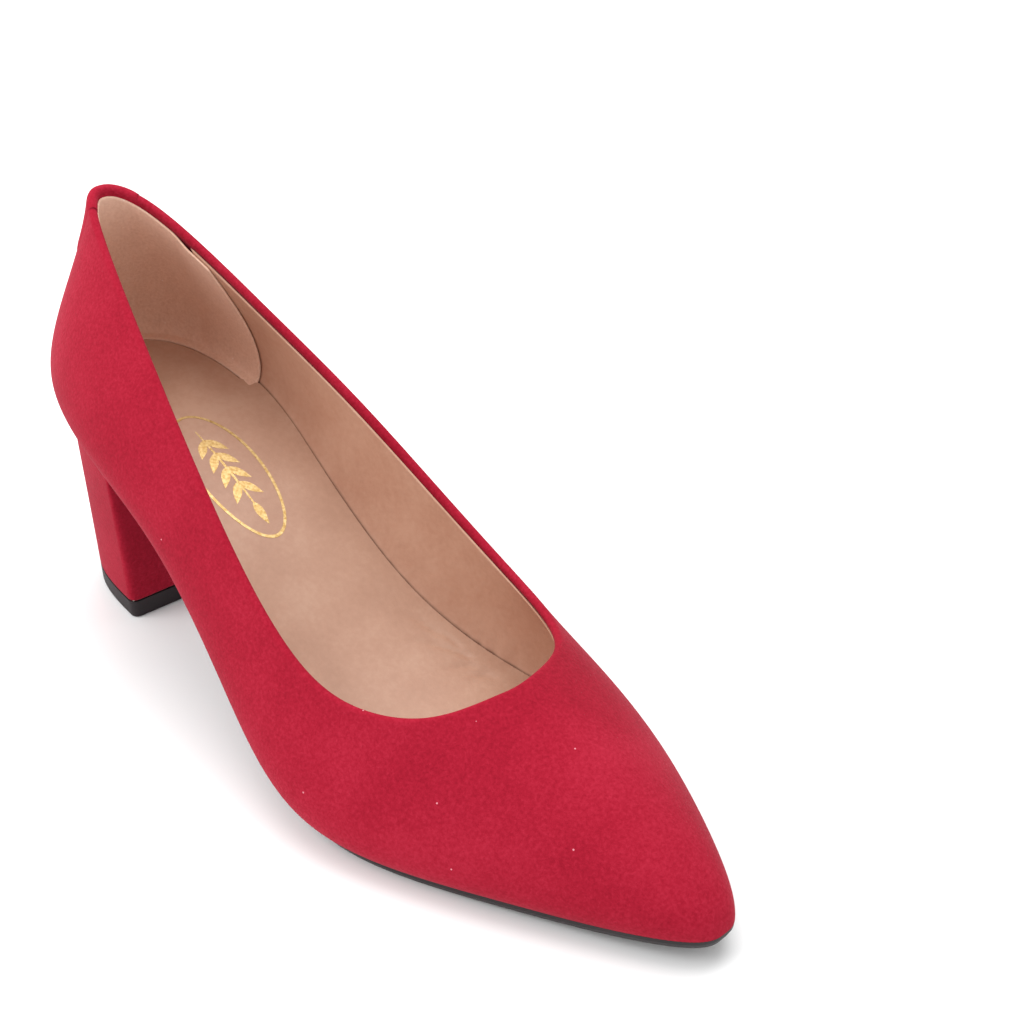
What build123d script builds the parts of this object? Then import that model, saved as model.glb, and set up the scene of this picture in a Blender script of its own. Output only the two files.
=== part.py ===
from build123d import *
import os

import numpy as np

# Women's pointed-toe pump with a covered block heel, right foot, in millimetres.
# While it is modelled, x runs from the back of the heel seat (0) to the toe (258), +y is
# the arch side and z is the height above the ground. Each wall layer is given by its depth
# inwards from the suede, and each bottom layer by its height above the feather line, which
# is the edge where the upper turns under. At the end the whole shoe is shifted so that the
# origin lies on the ground below the middle of its bounding box.

# The last: ten stations from the toe point (0) round to the centre of the back (9).
FEATHER_X = [258, 253, 226, 190, 155, 118, 82, 46, 12, 0]
FEATHER_ARCH = [4, 12.5, 27, 37, 33, 22, 20.5, 26, 20, 0]
FEATHER_OUTER = [4, -4.5, -18.5, -34, -42, -35, -29.5, -29, -19.5, 0]
TOPLINE_X = [190, 188, 181, 167, 148, 122, 92, 60, 24, 14]
TOPLINE_ARCH = [1, 11, 24, 33, 36.5, 35, 29.5, 22, 12, 0]
TOPLINE_OUTER = [1, -7, -20, -29.5, -34, -32, -26, -18, -8.5, 0]
TOPLINE_Z = [46, 45, 42, 40.5, 44.5, 58, 78.5, 99, 121.5, 127.5]
LOW_BULGE_ARCH = [11, 11, 11, 10, 8, 7, 9, 11.5, 14, 13]
LOW_BULGE_OUTER = [11, 11, 11, 11.5, 12.5, 12.5, 13.5, 14.5, 14, 13]
HIGH_BULGE_ARCH = [3, 4, 5.5, 5, 5, 5.5, 6, 6, 3.5, -1]
HIGH_BULGE_OUTER = [3, 3, 3, 3, 4, 6.5, 8, 7.5, 2.5, -1]
LOW_REACH = 0.10
HIGH_REACH = 0.65

# Height of the feather line: spline control heights every 30 mm from x = -30.
BOTTOM_STEP = 30
BOTTOM_Z = [70, 67, 63.5, 56.5, 41, 19, 5, 3, 5, 6.5, 11.5, 16]

# Wall layers, as depths from the outside of the suede.
GAP = 0.1
SUEDE = 1.1
FOLD_DEPTH = 2.6
FOLD_DROP = 8.0
FOLD_INSIDE = 1.75
LINING_DEPTH = 2.7
LINING = 0.8
GRIP = 1.0
LINING_DROP = 2.5
COUNTER = 1.3
PUFF = 0.9
TAPE = 0.35
MARGIN = 9.0

# Bottom layers, as heights above the feather line.
FILLER = 1.05
BOARD_LOW, BOARD_HIGH = 1.15, 2.5
SHANK_LOW, SHANK_HIGH = 2.6, 3.8
PAD_LOW, PAD_HIGH = 3.9, 4.7
SOCK_LOW, SOCK_HIGH = 4.8, 5.6
BOARD_INSET = 4.5
SOLE = 3.8
SOLE_WAIST = 2.4
WAIST_X, BALL_X = 95, 145
SOLE_PROUD = 0.4
STEEL_LENGTH, STEEL_WIDTH, STEEL = 100.0, 11.0, 0.8
STEEL_X = 78.0
SHANK_BOARD_END, CUSHION_END = 136.0, 235.0

# Block heel. The cores are hollows in the block, as x, y, length and width.
BREAST_X = 45.0
HEEL_DEPTH = 39.5
HEEL_HALF = 26.0
HEEL_SQUARENESS = 3.2
HEEL_TURN = 4.0
HEEL_FLARE = 1.6
HEEL_LEVELS = [6.05, 20, 35, 48, 60, 72]
SEAT_X = 46.5
SEAT_Z = 66.0
TOP_PIECE = 6.0
TOP_PIECE_CHAMFER = 0.8
CORE_Z = 20.0
CORES = [(26, -16.5, 28, 9), (26, 16.5, 28, 9), (34, 0, 14, 14)]

# Fasteners, as (x, y) places on the seat and the shank.
SCREW = (18, 0)
SCREW_RADIUS, SCREW_HEAD, SCREW_LENGTH = 2.0, 4.0, 30.0
NAILS = [(x, y) for x in (27, 38) for y in (-9.5, 9.5)]
NAIL_RADIUS, NAIL_HEAD, NAIL_LENGTH = 1.0, 2.2, 20.0
HEAD_HEIGHTS = {"screw": 1.1, "nail": 0.8, "rivet": 0.35}
RIVETS = [(58, 0), (112, 0)]
RIVET_RADIUS, RIVET_HEAD = 1.8, 3.0
PINS = [(14, 0), (34, 0)]
PIN_RADIUS, PIN_LOW, PIN_HIGH = 1.5, 2.5, 17.0

# The tab over the centre back, and the ends of the lining pieces, by station.
TAB_STATIONS = (8.25, 9, 9.75)
TAB_DROP, TAB_INSIDE = 12.0, 2.0
TAB = 0.8
LINING_STATIONS = (-7.25, 0, 7.25)
GRIP_STATIONS = (7.26, 9, 10.74)
PUFF_STATIONS, PUFF_HEIGHT = (-3, 0, 3), 0.55
COUNTER_STATIONS, COUNTER_HEIGHT = (6.25, 9, 11.75), 0.75
SOCK_DEPTH = LINING_DEPTH + GRIP + 0.3
HEEL_SKIN = 0.9

# Room around the shoe for cutting shapes, and how finely the wall is drawn.
ROOM = 80
BACK_LIMIT, TOE_LIMIT = -5, 265
STRAIGHT = 3.0
WALL_POINTS = 12
SECTIONS_PER_STATION = 4

FOOT, TOP = 0, 1
ROUND = (0, 9, 18)


def closed(arch, outer):
    """Spline control values of the loop down the arch side and back up the outer side."""
    values = np.array(list(arch) + list(outer)[-2:0:-1], float)
    turn = np.eye(len(values))
    smoothing = (4 * turn + np.roll(turn, 1, 0) + np.roll(turn, -1, 0)) / 6
    return np.linalg.solve(smoothing, values)


FEATHER = closed(zip(FEATHER_X, FEATHER_ARCH), zip(FEATHER_X, FEATHER_OUTER))
TOPLINE = closed(
    zip(TOPLINE_X, TOPLINE_ARCH, TOPLINE_Z), zip(TOPLINE_X, TOPLINE_OUTER, TOPLINE_Z)
)
BULGE = closed(
    zip(LOW_BULGE_ARCH, HIGH_BULGE_ARCH), zip(LOW_BULGE_OUTER, HIGH_BULGE_OUTER)
)


def on_spline(control, u):
    """Value and rate of change at u of the uniform cubic spline with these controls."""
    control = np.asarray(control, float)
    start, t = int(np.floor(u)), u % 1
    near = control[[(start + k) % len(control) for k in (-1, 0, 1, 2)]]
    weights = [(1 - t) ** 3, 3 * t**3 - 6 * t**2 + 4, -3 * t**3 + 3 * t**2 + 3 * t + 1, t**3]
    rates = [-3 * (1 - t) ** 2, 9 * t**2 - 12 * t, -9 * t**2 + 6 * t + 3, 3 * t**2]
    return np.tensordot(weights, near, 1) / 6, np.tensordot(rates, near, 1) / 6


def unit(vector):
    """The vector at length one."""
    return np.asarray(vector, float) / np.linalg.norm(vector)


def bottom(x):
    """Height of the feather line above the ground at x."""
    return on_spline(BOTTOM_Z, x / BOTTOM_STEP + 1)[0]


def bottom_slope(x):
    """Rise of the feather line per millimetre towards the toe."""
    return on_spline(BOTTOM_Z, x / BOTTOM_STEP + 1)[1] / BOTTOM_STEP


def above(x, height):
    """Level above the ground at x of a layer this far from the feather line, measured square."""
    return bottom(x) + height * np.hypot(1, bottom_slope(x))


def station(u):
    """Foot point, outward and upward unit vectors and size of the wall's section at u."""
    (x, y), (foot_dx, foot_dy) = on_spline(FEATHER, u)
    top, top_run = on_spline(TOPLINE, u)
    foot = np.array([x, y, bottom(x)])
    size = np.linalg.norm(top - foot)
    up = unit(top - foot)
    run = unit([foot_dx, foot_dy, 0]) + unit([top_run[0], top_run[1], 0])
    return foot, unit(np.cross(run, up)), up, size


def wall(u, v, depth):
    """Point on the wall at station u, from v = 0 at the feather line to 1 at the topline."""
    foot, out, up, size = station(u)
    low, high = on_spline(BULGE, u)[0]
    t = min(v, 1)
    first, second, third = 3 * t * (1 - t) ** 2, 3 * t**2 * (1 - t), t**3
    a = first * low + second * high
    b = size * (first * LOW_REACH + second * HIGH_REACH + third)
    first, second, third = (1 - t) * (1 - 3 * t), t * (2 - 3 * t), t**2
    da = first * low + second * high
    db = size * (first * LOW_REACH + second * HIGH_REACH + third)
    beyond = (v - t) * size
    a += (beyond * da - depth * db) / np.hypot(da, db)
    b += (beyond * db + depth * da) / np.hypot(da, db)
    return foot + a * out + b * up


def turned_under(u, inward, height):
    """Point inward of the foot point along the shoe's underside, in the same section."""
    foot, out, up, _ = station(u)
    slope = bottom_slope(foot[0])
    along = unit(up * (out[2] - slope * out[0]) - out * (up[2] - slope * up[0]))
    rise = unit(out * np.dot(along, up) - up * np.dot(along, out))
    return foot + along * inward + rise * height


def joined(points):
    """A straight edge through two points, or a smooth one through more."""
    places = [Vector(*point) for point in points]
    return Edge.make_line(*places) if len(places) == 2 else Edge.make_spline(places)


def outline(sides):
    """Closed wire of edges, each running on to the first point of the next one."""
    return Wire([joined(points) for points in sides])


def section(u, corners, margin=()):
    """Outline of one layer at station u: corners are (edge, height, depth) on the wall, and
    margin adds corners (inward, height) on the part that turns under the foot."""
    size = station(u)[3]
    marks = [(edge + height / size, depth) for edge, height, depth in corners]
    turned = [turned_under(u, *place) for place in margin]
    ends = [wall(u, *mark) for mark in marks] + turned
    sides = []
    for number, start in enumerate(ends):
        side = [start, ends[(number + 1) % len(ends)]]
        if number + 1 < len(marks) or not turned:
            (v0, depth), (v1, next_depth) = marks[number], marks[(number + 1) % len(marks)]
            if depth == next_depth and abs(v1 - v0) * size > STRAIGHT:
                side = [wall(u, v, depth) for v in np.linspace(v0, v1, WALL_POINTS)]
        sides.append(side)
    return outline(sides)


def layer(first, last, corners, margin=()):
    """One wall layer from station first to last, with several sections to a station."""
    count = round((last - first) * SECTIONS_PER_STATION) + 1
    stations = np.linspace(first, last, count)
    return Solid.make_loft([section(u, corners, margin) for u in stations])


def joined_layers(stations, corners, margin=()):
    """One wall layer in two lofts that meet at the middle station, at the toe or the back."""
    first, middle, last = stations
    return layer(first, middle, corners, margin) + layer(middle, last, corners, margin)


def strip(low, high, outside, inside):
    """Corners of a plain layer between two (edge, height) lines and two depths."""
    return [(*low, outside), (*high, outside), (*high, inside), (*low, inside)]


def make_upper():
    """Suede upper: one wall, folded back on itself at the topline and turned under the board."""
    corners = [
        (FOOT, 0, 0),
        (TOP, 0, 0),
        (TOP, 0, FOLD_DEPTH),
        (TOP, -FOLD_DROP, FOLD_DEPTH),
        (TOP, -FOLD_DROP, FOLD_INSIDE),
        (TOP, -SUEDE, FOLD_INSIDE),
        (TOP, -SUEDE, SUEDE),
        (FOOT, 2, SUEDE),
    ]
    return joined_layers(ROUND, corners, [(2, SUEDE), (MARGIN, SUEDE), (MARGIN, 0)])


def make_back_tab():
    """Suede tab that caps the topline at the centre back."""
    inside = FOLD_DEPTH + GAP
    corners = [
        (TOP, -TAB_DROP, -TAB),
        (TOP, TAB, -TAB),
        (TOP, TAB, inside + TAB),
        (TOP, -TAB_INSIDE, inside + TAB),
        (TOP, -TAB_INSIDE, inside),
        (TOP, GAP, inside),
        (TOP, GAP, -GAP),
        (TOP, -TAB_DROP, -GAP),
    ]
    return joined_layers(TAB_STATIONS, corners)


def make_walls():
    """The upper and every layer behind it."""
    tape = SUEDE + GAP
    lining = LINING_DEPTH
    low, high = (FOOT, 3), (TOP, -LINING_DROP)
    return {
        "upper": make_upper(),
        "back_tab": make_back_tab(),
        "topline_tape": joined_layers(
            ROUND, strip((TOP, -FOLD_DROP), (TOP, -SUEDE - GAP), tape, tape + TAPE)
        ),
        "toe_puff": joined_layers(
            PUFF_STATIONS, strip(low, (PUFF_HEIGHT, 0), tape, tape + PUFF)
        ),
        "heel_counter": joined_layers(
            COUNTER_STATIONS, strip(low, (COUNTER_HEIGHT, 0), tape, tape + COUNTER)
        ),
        "front_lining": joined_layers(
            LINING_STATIONS, strip(low, high, lining, lining + LINING)
        ),
        "heel_grip": joined_layers(GRIP_STATIONS, strip(low, high, lining, lining + GRIP)),
    }


def inset(distance):
    """Plan face of the feather line moved inwards along the underside."""
    return plan([turned_under(u, distance, 0) for u in np.arange(ROUND[0], ROUND[-1], 0.5)])


def footprint(depth, height):
    """Plan face of the foot's room: the wall at this depth, cut at a height above the feather."""
    points = []
    for u in np.arange(ROUND[0], ROUND[-1], 0.5):
        v = 0
        point = wall(u, v, depth)
        while point[2] < above(point[0], height):
            v += 0.01
            point = wall(u, v, depth)
        points.append(point)
    return plan(points)


def plan(points):
    """Flat face at ground level inside a smooth closed loop through the points' places."""
    flat = [Vector(x, y, 0) for x, y, _ in points]
    return Face(Wire(Edge.make_spline(flat, periodic=True)))


def band(low, high, x0, x1):
    """Everything between two heights above the feather line, from x0 to x1."""
    places = np.linspace(x0, x1, max(5, round((x1 - x0) / 8)))
    under = [(x, -ROOM, above(x, -low(x) if callable(low) else low)) for x in places]
    over = [(x, -ROOM, above(x, high)) for x in reversed(places)]
    side = Face(outline([under, [under[-1], over[0]], over, [over[-1], under[0]]]))
    return Solid.extrude(side, Vector(0, 2 * ROOM, 0))


def slab(face, low, high, x0=BACK_LIMIT, x1=TOE_LIMIT):
    """Plate that follows the underside: a plan face between two heights and two places."""
    return Solid.extrude(face, Vector(0, 0, 2 * ROOM)) & band(low, high, x0, x1)


def sole_thickness(x):
    """Full below the ball and thinner through the waist."""
    t = np.clip((x - WAIST_X) / (BALL_X - WAIST_X), 0, 1)
    return SOLE_WAIST + (SOLE - SOLE_WAIST) * t * t * (3 - 2 * t)


def pegs(places, radius, low, high):
    """Cylinders square to the underside at each (x, y), between two heights above it."""
    made = []
    for x, y in places:
        tilt = -np.degrees(np.arctan(bottom_slope(x)))
        stand = Location((x, y, float(bottom(x))), (0, tilt, 0))
        made.append(stand * Pos(0, 0, low) * Solid.make_cylinder(radius, high - low))
    return made


def make_fasteners():
    """Screw, nails, rivets and pins, each group one node."""
    rest = BOARD_HIGH + GAP
    screw = pegs([SCREW], SCREW_RADIUS, rest - SCREW_LENGTH, rest)
    heads = pegs([SCREW], SCREW_HEAD, rest, rest + HEAD_HEIGHTS["screw"])
    nails = pegs(NAILS, NAIL_RADIUS, rest - NAIL_LENGTH, rest)
    nail_heads = pegs(NAILS, NAIL_HEAD, rest, rest + HEAD_HEIGHTS["nail"])
    top = SHANK_LOW + STEEL
    rivets = pegs(RIVETS, RIVET_RADIUS, BOARD_LOW - 0.1, top + 0.1)
    upper_heads = pegs(RIVETS, RIVET_HEAD, top + 0.05, top + HEAD_HEIGHTS["rivet"])
    lower_heads = pegs(RIVETS, RIVET_HEAD, BOARD_LOW - 0.6, BOARD_LOW - 0.05)
    height = PIN_HIGH - PIN_LOW
    pins = [Pos(x, y, PIN_LOW) * Solid.make_cylinder(PIN_RADIUS, height) for x, y in PINS]
    return {
        "heel_screw": grouped(screw, heads),
        "heel_nails": grouped(nails, nail_heads),
        "shank_rivets": grouped(rivets, upper_heads, lower_heads),
        "top_piece_pins": grouped(pins),
    }


def grouped(bodies, *ends):
    """Fuse each body with its own ends and keep the bodies apart as one group."""
    return Compound([body.fuse(*mine) if mine else body for body, *mine in zip(bodies, *ends)])


def make_bottom():
    """Boards, steel, cushions, sock and outsole, from the foot down to the ground."""
    through = BOARD_HIGH + 3
    screw_hole = pegs([SCREW], SCREW_RADIUS + 0.1, -SCREW_LENGTH - 1, through)
    nail_holes = pegs(NAILS, NAIL_RADIUS + 0.05, -NAIL_LENGTH - 1, through)
    head_holes = pegs([SCREW], SCREW_HEAD + 0.3, FILLER, through)
    head_holes += pegs(NAILS, NAIL_HEAD + 0.3, FILLER, through)
    rivet_holes = pegs(RIVETS, RIVET_RADIUS + 0.1, -1, through)
    rivet_heads = pegs(RIVETS, RIVET_HEAD + 0.3, -1, BOARD_LOW)
    slot = Pos(STEEL_X, 0) * Rectangle(STEEL_LENGTH + 0.4, STEEL_WIDTH + 0.4).face()
    steel = Pos(STEEL_X, 0) * SlotOverall(STEEL_LENGTH, STEEL_WIDTH).face()
    board = inset(BOARD_INSET)
    under = slab(inset(-SOLE_PROUD), sole_thickness, -2 * GAP, SEAT_X + GAP)
    ground = Pos(0, 0, -ROOM) * Box(8 * ROOM, 4 * ROOM, 2 * ROOM)
    return {
        "outsole": under - ground,
        "bottom_filler": slab(inset(MARGIN + 1), 0, FILLER, 12, CUSHION_END)
        - screw_hole - nail_holes - rivet_heads,
        "insole_board": slab(board, BOARD_LOW, BOARD_HIGH) - screw_hole - nail_holes - rivet_holes,
        "shank_board": slab(board, SHANK_LOW, SHANK_HIGH, x1=SHANK_BOARD_END)
        - slab(slot, 0, SHANK_HIGH + 1) - head_holes,
        "steel_shank": slab(steel, SHANK_LOW, SHANK_LOW + STEEL) - rivet_holes,
        "forefoot_cushion": slab(
            board, SHANK_LOW, SHANK_HIGH, SHANK_BOARD_END + 0.5, CUSHION_END + 10
        ),
        "sock_cushion": slab(footprint(SOCK_DEPTH, PAD_LOW), PAD_LOW, PAD_HIGH),
        "sock_lining": slab(footprint(SOCK_DEPTH, SOCK_LOW), SOCK_LOW, SOCK_HIGH),
    }


def heel_level(z, skin):
    """Heel outline at height z, moved in by skin: round the back and straight across the front.
    It grows from a square-shouldered D on the ground to the outline of the seat."""
    weight = (z / SEAT_Z) ** HEEL_FLARE
    turn = np.radians(HEEL_TURN)
    arc = []
    for step in np.linspace(-1, 1, 13):
        angle = step * np.pi / 2
        back = HEEL_DEPTH * abs(np.cos(angle)) ** (2 / HEEL_SQUARENESS)
        across = HEEL_HALF * np.sign(step) * abs(np.sin(angle)) ** (2 / HEEL_SQUARENESS)
        x = BREAST_X - back * np.cos(turn) + across * np.sin(turn)
        y = back * np.sin(turn) + across * np.cos(turn)
        seat = on_spline(FEATHER, ROUND[1] - 2 * step)[0]
        arc.append(np.array([x, y]) * (1 - weight) + seat * weight)
    runs = np.gradient(np.array(arc), axis=0)
    moved = [point + skin * unit([run[1], -run[0]]) for point, run in zip(arc, runs)]
    moved[0][0] -= skin
    moved[-1][0] -= skin
    around = [(x, y, z) for x, y in moved]
    return outline([around, [around[-1], around[0]]])


def heel_body(skin):
    """Heel shape from the top piece up to the seat, moved in by skin."""
    tall = Solid.make_loft([heel_level(z, skin) for z in HEEL_LEVELS])
    return tall & band(-2 * ROOM, -2 * GAP, -10, 60)


def make_heel():
    """Moulded block, suede cover and rubber top piece."""
    rest = BOARD_HIGH + GAP
    bores = pegs([SCREW], SCREW_RADIUS + 0.1, rest - SCREW_LENGTH - 1, rest)
    bores += pegs(NAILS, NAIL_RADIUS + 0.05, rest - NAIL_LENGTH - 1, rest)
    depth = PIN_HIGH - PIN_LOW + 1
    bores += [Pos(x, y, PIN_LOW - GAP) * Solid.make_cylinder(PIN_RADIUS + 0.05, depth) for x, y in PINS]
    cores = [
        Pos(x, y, CORE_Z + ROOM / 2) * Box(length, width, ROOM) for x, y, length, width in CORES
    ]
    cover = heel_body(0) - heel_body(HEEL_SKIN)
    block = heel_body(HEEL_SKIN + GAP) - cores - bores
    tread = Solid.extrude(Face(heel_level(0.001, 0)), Vector(0, 0, TOP_PIECE))
    edges = tread.faces().sort_by(Axis.Z)[0].edges()
    rubber = tread.chamfer(TOP_PIECE_CHAMFER, None, edges)
    return {
        "heel_block": block,
        "heel_cover": cover,
        "top_piece": rubber - bores[-2:],
    }


def write(parts):
    """Shift the shoe so that the origin is below its middle, and write one file per node."""
    box = Compound(list(parts.values())).bounding_box()
    shift = Location((-(box.min.X + box.max.X) / 2, -(box.min.Y + box.max.Y) / 2, -box.min.Z))
    print("shift", shift.position, "size", box.size)
    os.makedirs("parts", exist_ok=True)
    for name, shape in parts.items():
        export_step(shape.moved(shift), f"parts/{name}.step")


write({**make_walls(), **make_bottom(), **make_heel(), **make_fasteners()})
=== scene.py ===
import math

import bmesh
import bpy
import numpy as np
from mathutils import Matrix, Vector
from mathutils.bvhtree import BVHTree


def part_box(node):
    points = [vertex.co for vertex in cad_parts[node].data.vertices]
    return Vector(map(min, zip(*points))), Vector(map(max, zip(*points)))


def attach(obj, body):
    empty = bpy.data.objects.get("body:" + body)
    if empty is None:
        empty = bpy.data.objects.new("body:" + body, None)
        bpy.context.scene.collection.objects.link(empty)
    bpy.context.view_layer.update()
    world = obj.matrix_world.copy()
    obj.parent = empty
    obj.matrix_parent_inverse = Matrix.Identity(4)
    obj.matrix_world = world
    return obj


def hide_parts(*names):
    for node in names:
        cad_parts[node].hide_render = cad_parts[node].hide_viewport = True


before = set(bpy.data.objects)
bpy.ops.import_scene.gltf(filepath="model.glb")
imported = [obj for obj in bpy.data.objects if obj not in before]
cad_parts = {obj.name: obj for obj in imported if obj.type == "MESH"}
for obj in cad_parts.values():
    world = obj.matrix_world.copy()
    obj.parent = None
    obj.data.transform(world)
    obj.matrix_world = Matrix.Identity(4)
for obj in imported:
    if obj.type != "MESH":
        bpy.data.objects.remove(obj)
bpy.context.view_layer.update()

# ---------------------------------------------------------------------------------------
# Studio: one camera held close and above the outer side of the toe, a white sweep, and
# broad soft light from above and behind, with a fill that reaches down into the heel.
# ---------------------------------------------------------------------------------------
scene = bpy.context.scene
scene.view_settings.view_transform = "Standard"

EYE = Vector((0.2817, -0.2009, 0.2905))
HEADING = math.radians(47.31)
PITCH = math.radians(32.86)
ROLL = math.radians(-0.5)
forward = Vector((-math.sin(HEADING), math.cos(HEADING), -math.tan(PITCH))).normalized()
right = Vector((math.cos(HEADING), math.sin(HEADING), 0))
above_lens = right.cross(forward)
lens = bpy.data.cameras.new("camera")
lens.sensor_width = 36
lens.lens = 54.5
lens.clip_start = 0.01
turned = Matrix((right, above_lens, -forward)).transposed() @ Matrix.Rotation(ROLL, 3, "Z")
camera = bpy.data.objects.new("camera", lens)
camera.matrix_world = Matrix.Translation(EYE) @ turned.to_4x4()
scene.collection.objects.link(camera)
scene.camera = camera


def area_light(name, place, aim, size, power):
    """A square soft box that faces the aim."""
    lamp = bpy.data.lights.new(name, "AREA")
    lamp.size = size
    lamp.energy = power
    lit = bpy.data.objects.new(name, lamp)
    lit.location = place
    lit.rotation_euler = (Vector(aim) - Vector(place)).to_track_quat("-Z", "Y").to_euler()
    scene.collection.objects.link(lit)


area_light("overhead_box", (-0.25, 0.35, 1.3), (0, 0, 0.03), 1.2, 14)
area_light("heel_fill", (-0.35, -0.7, 0.8), (-0.08, 0, 0.08), 0.7, 5.5)

world = bpy.data.worlds.new("studio_white")
world.use_nodes = True
world.node_tree.nodes["Background"].inputs["Color"].default_value = (1, 1, 1, 1)
world.node_tree.nodes["Background"].inputs["Strength"].default_value = 0.86
scene.world = world


def hex_colour(code):
    """Linear colour of an sRGB hex value."""
    parts = [int(code[i : i + 2], 16) / 255 for i in (1, 3, 5)]
    linear = [c / 12.92 if c <= 0.04045 else ((c + 0.055) / 1.055) ** 2.4 for c in parts]
    return (*linear, 1)


def add_node(material, kind, links=(), **settings):
    """Add one shader node: settings by name, then links as (own socket, other output)."""
    node = material.node_tree.nodes.new(kind)
    for name, value in settings.items():
        if hasattr(node, name):
            setattr(node, name, value)
        else:
            node.inputs[name.replace("_", " ")].default_value = value
    for socket, source in links:
        material.node_tree.links.new(source, node.inputs[socket])
    return node


def new_material(name, **settings):
    """A material with these settings on its Principled shader, and that shader."""
    material = bpy.data.materials.new(name)
    material.use_nodes = True
    shader = material.node_tree.nodes["Principled BSDF"]
    for setting, value in settings.items():
        shader.inputs[setting.replace("_", " ")].default_value = value
    return material, shader


# Matt white background paper: bright, with no gloss, so that only soft shadows show on it.
sweep_paper = new_material(
    "white_sweep_paper", Base_Color=(0.93, 0.93, 0.93, 1), Roughness=0.9, Specular_IOR_Level=0.1
)[0]
bm = bmesh.new()
bmesh.ops.create_grid(bm, x_segments=1, y_segments=1, size=6)
floor_mesh = bpy.data.meshes.new("floor")
bm.to_mesh(floor_mesh)
bm.free()
floor = bpy.data.objects.new("floor", floor_mesh)
floor_mesh.materials.append(sweep_paper)
scene.collection.objects.link(floor)

# ---------------------------------------------------------------------------------------
# Last: the wooden form that the shoe is pulled over. Its wall runs from the feather line,
# where the upper turns under, to the topline. Sizes in millimetres at ten stations, from the
# toe point (0) round to the centre of the back (9), on the arch side and the outer side.
# ---------------------------------------------------------------------------------------
FEATHER_X = [258, 253, 226, 190, 155, 118, 82, 46, 12, 0]
FEATHER_ARCH = [4, 12.5, 27, 37, 33, 22, 20.5, 26, 20, 0]
FEATHER_OUTER = [4, -4.5, -18.5, -34, -42, -35, -29.5, -29, -19.5, 0]
TOPLINE_X = [190, 188, 181, 167, 148, 122, 92, 60, 24, 14]
TOPLINE_ARCH = [1, 11, 24, 33, 36.5, 35, 29.5, 22, 12, 0]
TOPLINE_OUTER = [1, -7, -20, -29.5, -34, -32, -26, -18, -8.5, 0]
TOPLINE_Z = [46, 45, 42, 40.5, 44.5, 58, 78.5, 99, 121.5, 127.5]
LOW_BULGE_ARCH = [11, 11, 11, 10, 8, 7, 9, 11.5, 14, 13]
LOW_BULGE_OUTER = [11, 11, 11, 11.5, 12.5, 12.5, 13.5, 14.5, 14, 13]
HIGH_BULGE_ARCH = [3, 4, 5.5, 5, 5, 5.5, 6, 6, 3.5, -1]
HIGH_BULGE_OUTER = [3, 3, 3, 3, 4, 6.5, 8, 7.5, 2.5, -1]
LOW_REACH = 0.10
HIGH_REACH = 0.65
BOTTOM_STEP = 30
BOTTOM_Z = np.array([[70], [67], [63.5], [56.5], [41], [19], [5], [3], [5], [6.5], [11.5], [16]])
PINS_MIDDLE_X = 24


def closed(arch, outer):
    """Spline control values of the loop down the arch side and back up the outer side."""
    values = np.array(list(arch) + list(outer)[-2:0:-1], float)
    turn = np.eye(len(values))
    smoothing = (4 * turn + np.roll(turn, 1, 0) + np.roll(turn, -1, 0)) / 6
    return np.linalg.solve(smoothing, values)


FEATHER = closed(zip(FEATHER_X, FEATHER_ARCH), zip(FEATHER_X, FEATHER_OUTER))
TOPLINE = closed(
    zip(TOPLINE_X, TOPLINE_ARCH, TOPLINE_Z), zip(TOPLINE_X, TOPLINE_OUTER, TOPLINE_Z)
)
BULGE = closed(
    zip(LOW_BULGE_ARCH, HIGH_BULGE_ARCH), zip(LOW_BULGE_OUTER, HIGH_BULGE_OUTER)
)
pins_low, pins_high = (np.array(corner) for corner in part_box("top_piece_pins"))
TO_FRAME = (pins_low + pins_high) / 2 - [PINS_MIDDLE_X / 1000, 0, 0]
TO_FRAME[2] = 0


def on_spline(control, u):
    """Values and rates of change at each u of the uniform cubic spline."""
    start = np.floor(u).astype(int)
    t = (u - start)[..., None]
    near = [control[(start + k) % len(control)] for k in (-1, 0, 1, 2)]
    weights = [(1 - t) ** 3, 3 * t**3 - 6 * t**2 + 4, -3 * t**3 + 3 * t**2 + 3 * t + 1, t**3]
    rates = [-3 * (1 - t) ** 2, 9 * t**2 - 12 * t, -9 * t**2 + 6 * t + 3, 3 * t**2]
    value = sum(w * c for w, c in zip(weights, near)) / 6
    return value, sum(r * c for r, c in zip(rates, near)) / 6


def unit(vectors):
    """Each vector at length one."""
    return vectors / np.linalg.norm(vectors, axis=-1, keepdims=True)


def level(x, height):
    """Level above the ground at x of a layer this far above the feather line."""
    bottom, rate = on_spline(BOTTOM_Z, x / BOTTOM_STEP + 1)
    return bottom[..., 0] + height * np.hypot(1, rate[..., 0] / BOTTOM_STEP)


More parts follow.
